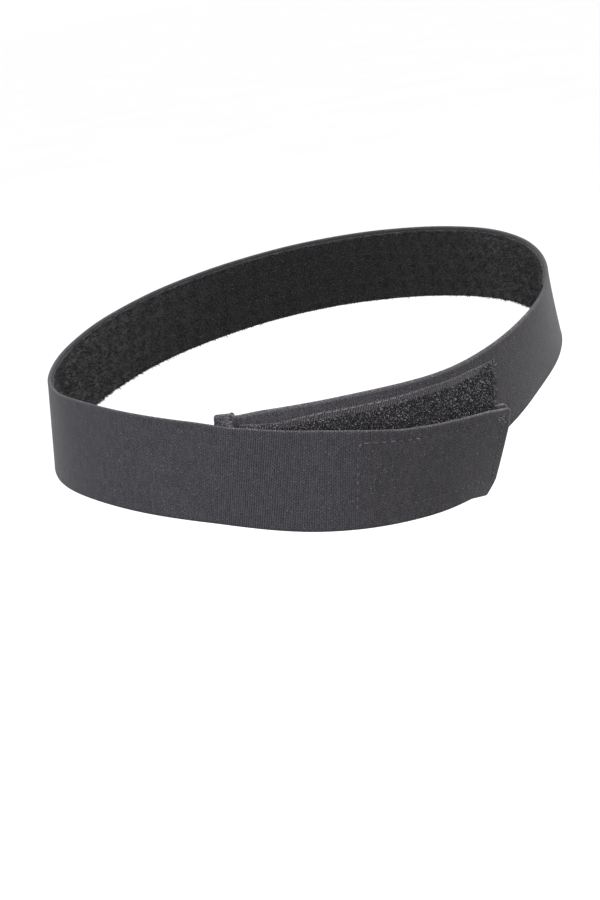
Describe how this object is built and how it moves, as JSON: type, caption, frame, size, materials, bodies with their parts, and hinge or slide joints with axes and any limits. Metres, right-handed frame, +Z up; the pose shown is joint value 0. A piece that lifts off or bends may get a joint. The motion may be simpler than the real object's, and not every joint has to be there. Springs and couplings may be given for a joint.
{
  "type": "elastic wig grip band",
  "caption": "Closed head band of woven elastic with a plush grip lining inside its front and a hook-and-loop tab that laps over at the back, worn under a wig to hold it.",
  "frame": {"origin": "middle of the head opening, at the mean height of the band", "axes": "+Z up out of the top of the head, -Y towards the forehead, +X towards the wearer's left"},
  "size_m": [0.1723, 0.2056, 0.0647],
  "materials": {
    "elastic_band": "black woven elastic with fine cross ribs",
    "loop_tape": "black looped pile on a woven tape",
    "hook_tape": "black woven tape with small hooks",
    "grip_lining": "black short plush"
  },
  "bodies": {
    "root": {"elastic_band": "elastic_band", "loop_tape": "loop_tape", "hook_tape": "hook_tape", "grip_lining": "grip_lining"}
  },
  "joints": []
}
